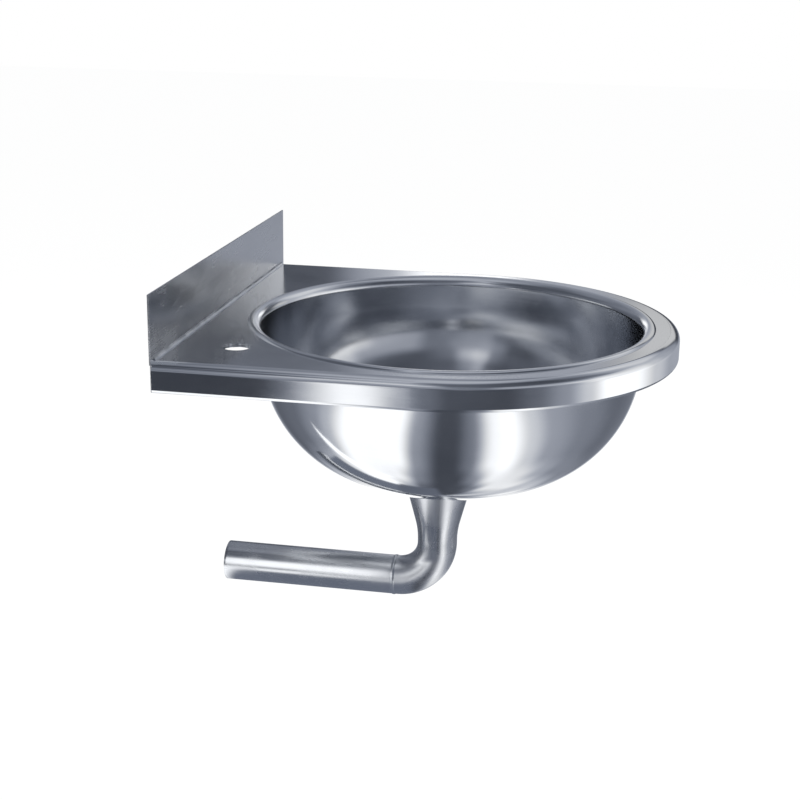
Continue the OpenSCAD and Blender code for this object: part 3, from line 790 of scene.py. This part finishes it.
# The surround is a sheet just above the floor and a dome over it, with soft light panels between dark flags.
# Each list gives a direction in degrees, anticlockwise from +X, and the brightness there; it eases between.
# On the sheet the panels lie like a star round one point, with a list for each distance from it in metres.
# On the dome there is one list for each height in degrees. Dark places are cool and bright ones white.
surround = {
    "middle": (0.0, -0.2, 0.0), "radius": 2.55, "low": -0.84, "star": (0.42, -0.15),
    "cool": (0.80, 0.89, 1.12), "white": (1.0, 1.0, 1.0),
    "discRings": 7, "domeRings": 48, "turns": 96, "join": (0.005, 0.006),
    "sheets": [
        (0.1, [(0, 0.5), (60, 0.8), (110, 0.75), (130, 0.5), (150, 0.32), (170, 0.15), (190, 0.1),
               (210, 0.1), (230, 0.33), (250, 0.6), (270, 0.91), (290, 0.7), (330, 0.3), (350, 0.14),
               (360, 0.5)]),
        (0.3, [(0, 1.0), (30, 1.4), (90, 1.6), (150, 1.6), (162, 0.6), (172, 0.2), (185, 0.1), (200, 0.12),
               (212, 0.3), (224, 1.2), (250, 1.16), (270, 0.7), (310, 0.82), (330, 1.34), (350, 0.5),
               (360, 1.0)]),
        (0.5, [(0, 1.3), (25, 1.5), (50, 0.7), (70, 0.35), (90, 0.4), (110, 0.6), (125, 1.1), (140, 1.6),
               (162, 1.4), (174, 0.35), (186, 0.1), (195, 0.1), (205, 0.35), (215, 1.3), (230, 1.1),
               (250, 0.54), (270, 0.35), (310, 0.33), (330, 0.41), (350, 1.2), (360, 1.3)]),
        (0.8, [(0, 1.2), (20, 1.3), (30, 0.6), (42, 0.25), (55, 0.16), (90, 0.22), (115, 0.4), (125, 0.65),
               (140, 1.6), (167, 1.6), (175, 0.45), (186, 0.1), (192, 0.1), (200, 0.28), (210, 1.4),
               (217, 1.6), (228, 0.85), (240, 0.47), (265, 0.3), (300, 0.21), (335, 0.24), (350, 0.7),
               (360, 1.2)]),
    ],
    "rings": [
        (-9, [(0, 0.4), (60, 0.2), (120, 0.12), (163, 0.08), (165, 0.3), (167, 1.6), (168.5, 1.6),
              (171, 0.35), (178, 0.23), (190, 0.12), (215, 0.1), (230, 0.19), (245, 0.4), (258, 0.85),
              (269, 1.6), (288, 1.6), (307, 0.83), (326, 0.49), (345, 0.43), (360, 0.4)]),
        (0, [(0, 0.6), (5, 0.5), (9, 0.7), (12, 0.45), (15.5, 0.1), (40, 0.15), (110, 0.15), (160, 0.1),
             (166, 0.3), (167, 1.2), (169, 1.2), (172, 0.3), (190, 0.12), (215, 0.1), (228, 0.2),
             (245, 0.4), (262, 1.2), (290, 1.3), (302, 0.8), (315, 0.55), (328, 0.4), (337, 0.08),
             (356, 0.08), (360, 0.6)]),
        (5, [(0, 0.5), (6, 0.45), (9, 0.85), (12, 0.6), (13.5, 0.42), (15.5, 0.1), (40, 0.15), (118, 0.2),
             (130, 1.1), (148, 1.1), (158, 0.4), (166, 0.35), (174, 0.25), (183, 0.12), (195, 0.25),
             (210, 0.15), (228, 0.2), (245, 0.45), (256, 0.9), (266, 1.4), (290, 1.2), (302, 0.8),
             (315, 0.55), (328, 0.4), (337, 0.08), (356, 0.08), (360, 0.5)]),
        (12, [(0, 0.5), (6, 0.45), (9, 0.85), (12, 0.6), (13.5, 0.42), (15.5, 0.1), (40, 0.2), (118, 0.15),
              (130, 0.15), (145, 0.15), (155, 0.2), (165, 0.4), (176, 0.4), (190, 0.3), (203, 0.25),
              (215, 0.5), (240, 0.6), (251, 0.95), (266, 1.2), (290, 1.1), (302, 0.8), (315, 0.55),
              (328, 0.4), (337, 0.08), (356, 0.08), (360, 0.5)]),
        (22, [(0, 0.45), (15, 0.35), (35, 0.3), (90, 0.2), (118, 0.2), (132, 0.08), (144, 0.1),
              (155, 0.35), (165, 0.5), (175, 0.45), (185, 0.4), (195, 0.27), (205, 0.27), (218, 0.5),
              (240, 0.5), (256, 0.5), (268, 0.8), (290, 0.9), (305, 0.7), (325, 0.5), (338, 0.15),
              (355, 0.15), (360, 0.45)]),
        (32, [(0, 0.5), (15, 0.35), (35, 0.25), (90, 0.14), (145, 0.15), (158, 0.3), (163, 0.8),
              (170, 0.9), (178, 0.7), (190, 0.25), (215, 0.13), (250, 0.15), (275, 0.3), (292, 0.6),
              (315, 0.9), (340, 0.8), (360, 0.5)]),
        (43, [(0, 0.4), (35, 0.3), (60, 0.3), (90, 0.14), (145, 0.12), (158, 0.15), (166, 0.6),
              (176, 0.4), (190, 0.16), (250, 0.1), (275, 0.2), (292, 0.5), (315, 0.9), (330, 0.9),
              (345, 0.5), (360, 0.4)]),
        (58, [(0, 0.3), (15, 0.4), (60, 0.2), (140, 0.1), (150, 0.4), (158, 0.7), (168, 0.35), (180, 0.2),
              (250, 0.1), (292, 0.3), (330, 0.5), (350, 0.2), (360, 0.3)]),
        (80, [(0, 0.6), (360, 0.6)]),
    ],
}

# Small cards near the basin, also seen only in reflections: each has a middle, the two halves of its sides,
# the widths of its soft edges along them, a brightness and a tint
cards = {
    "wallCard": ((0.8, -0.125, 0.16), (0, 0.12, 0), (0, 0, 0.09), (0.08, 0.06), 1.6, "white"),
    "rimCard": ((0.6, -0.50, 0.18), (0, 0.19, 0), (0, 0, 0.11), (0.1, 0.05), 0.7, "white"),
    "pipeCard": ((-0.12, -0.055, -0.235), (0, 0.11, 0), (0, 0, 0.055), (0.02, 0.03), 1.7, "white"),
    "neckFlag": ((-0.061, -0.20, -0.25), (0.041, 0, 0), (0, 0.035, 0), (0.012, 0.012), 0.2, "cool"),
    "pipeFlag": ((-0.025, -0.10, -0.30), (0.0475, 0, 0), (0, 0.1075, 0), (0.015, 0.015), 0.25, "cool"),
}


# 1 for rays of the camera and for those that a mirror or glass sends on, 0 for the others
def shownRays(f):
    rays = f.node("ShaderNodeLightPath", output=None)
    seen, mirrored, through = (Value(f, rays.outputs[k])
                               for k in ("Is Camera Ray", "Is Glossy Ray", "Is Transmission Ray"))
    return seen.math("MAXIMUM", mirrored).math("MAXIMUM", through)


def addFloor():
    f = Finish("floorPaper")
    paper = f.node("ShaderNodeBsdfDiffuse", {}, {"Color": (*studio["floorColor"], 1.0)})
    shown = shownRays(f) * studio["floorShown"]
    mix = f.node("ShaderNodeMixShader", {}, {0: shown, 1: paper, 2: f.glow(studio["white"], 1.0)})
    s, z = studio["floorSize"], studio["floorZ"]
    mesh = bpy.data.meshes.new("floor")
    mesh.from_pydata([(-s, -s, z), (s, -s, z), (s, s, z), (-s, s, z)], [], [(0, 1, 2, 3)])
    mesh.materials.append(f.ended(mix))
    linked("floor", mesh)


# Brightness by direction round a middle, as one of the surround's lists gives it
def ringOf(f, x, y, middle, stops):
    angle = (y - middle[1]).math("ARCTAN2", x - middle[0])
    turn = (angle / (2 * math.pi) + 1).math("FRACT")
    return f.node("ShaderNodeValToRGB", {"interpolation": "EASE", "stops": stops}, {0: turn})


# Lists that follow one another by distance or height, each eased into the next
def easedRings(f, x, y, measure, middle, rings):
    before, stops = rings[0]
    level = ringOf(f, x, y, middle, stops)
    for where, stops in rings[1:]:
        level = f.mixed(f.mapped(measure, before, where), level, ringOf(f, x, y, middle, stops))
        before = where
    return level


def surroundPaper():
    s, f = surround, Finish("surroundPaper")
    spot = f.coordinates()
    x, y, z = f.parts(spot)
    away = f.vector("DISTANCE", spot, (*s["star"], s["low"]), output=1)
    height = (z / s["radius"]).math("ARCSINE") * math.degrees(1)
    sheet = easedRings(f, x, y, away, s["star"], s["sheets"])
    dome = easedRings(f, x, y, height, s["middle"], s["rings"])
    level = f.mixed(f.mapped(z, *(s["low"] + gap for gap in s["join"])), sheet, dome)
    return f.ended(f.glow(f.mixed(level, s["cool"], s["white"]), level))


# A card's brightness fades out over its soft edge
def cardPaper(name, sides, soft, level, tint):
    f = Finish(name)
    spot = f.parts(f.coordinates("UV"))
    fade = [f.mapped(d.math("MINIMUM", side - d), 0.0, edge) for d, side, edge in zip(spot, sides, soft)]
    clear = f.node("ShaderNodeBsdfTransparent")
    light = f.glow((*surround[tint], 1.0), level)
    return f.ended(f.node("ShaderNodeMixShader", {}, {0: fade[0] * fade[1], 1: clear, 2: light}))


# Only reflections see this stage piece, and it lights nothing by itself
def onlyMirrored(piece, paper):
    paper.cycles.emission_sampling = "NONE"
    piece.data.materials.append(paper)
    for rays in ("camera", "diffuse", "transmission", "volume_scatter", "shadow"):
        setattr(piece, "visible_" + rays, False)


# A flat disc out to where the dome meets it, then the dome up to its top: (R cos e, R sin e)
def addSurround():
    s, radius = surround, surround["radius"]
    foot = math.asin(s["low"] / radius)
    disc = np.arange(s["discRings"]) / s["discRings"]
    rise = np.linspace(foot, math.pi / 2, s["domeRings"])
    r = np.r_[disc * radius * math.cos(foot), radius * np.cos(rise)][:, None]
    z = np.r_[np.full_like(disc, s["low"]), radius * np.sin(rise)][:, None]
    theta = fullTurn(s["turns"])
    x, y = s["middle"][0] + r * np.cos(theta), s["middle"][1] + r * np.sin(theta)
    grid = np.stack(np.broadcast_arrays(x, y, z), 2)
    onlyMirrored(surface("surround", grid / mm, closeCols=True), surroundPaper())


# A card is a flat sheet: middle plus or minus the halves of its sides
def addCards():
    for name, (middle, across, up, soft, level, tint) in cards.items():
        sides = 2 * math.hypot(*across), 2 * math.hypot(*up)
        a, b = np.meshgrid([-1.0, 1.0], [-1.0, 1.0], indexing="ij")
        grid = np.array(middle) + a[..., None] * np.array(across) + b[..., None] * np.array(up)
        onlyMirrored(surface(name, grid / mm), cardPaper(name, sides, soft, level, tint))


def addLamps():
    for name, (where, size, power) in studio["lamps"].items():
        lamp = bpy.data.lights.new(name, "AREA")
        lamp.size = size
        lamp.energy = power
        lamp.color = studio["lampColor"]
        holder = linked(name, lamp)
        holder.location = where
        holder.rotation_euler = (Vector(where) - Vector(studio["aim"])).to_track_quat("Z", "Y").to_euler()
        holder.visible_glossy = False


def addWorld():
    f = Finish("world", bpy.data.worlds)
    strength = f.between(shownRays(f), studio["fill"], 1.0)
    sky = f.node("ShaderNodeBackground", {}, {"Color": studio["white"], "Strength": strength})
    bpy.context.scene.world = f.ended(sky, "ShaderNodeOutputWorld")


addFloor()
addSurround()
addCards()
addLamps()
addWorld()
bpy.context.scene.view_settings.view_transform = "Standard"
print("studio made")
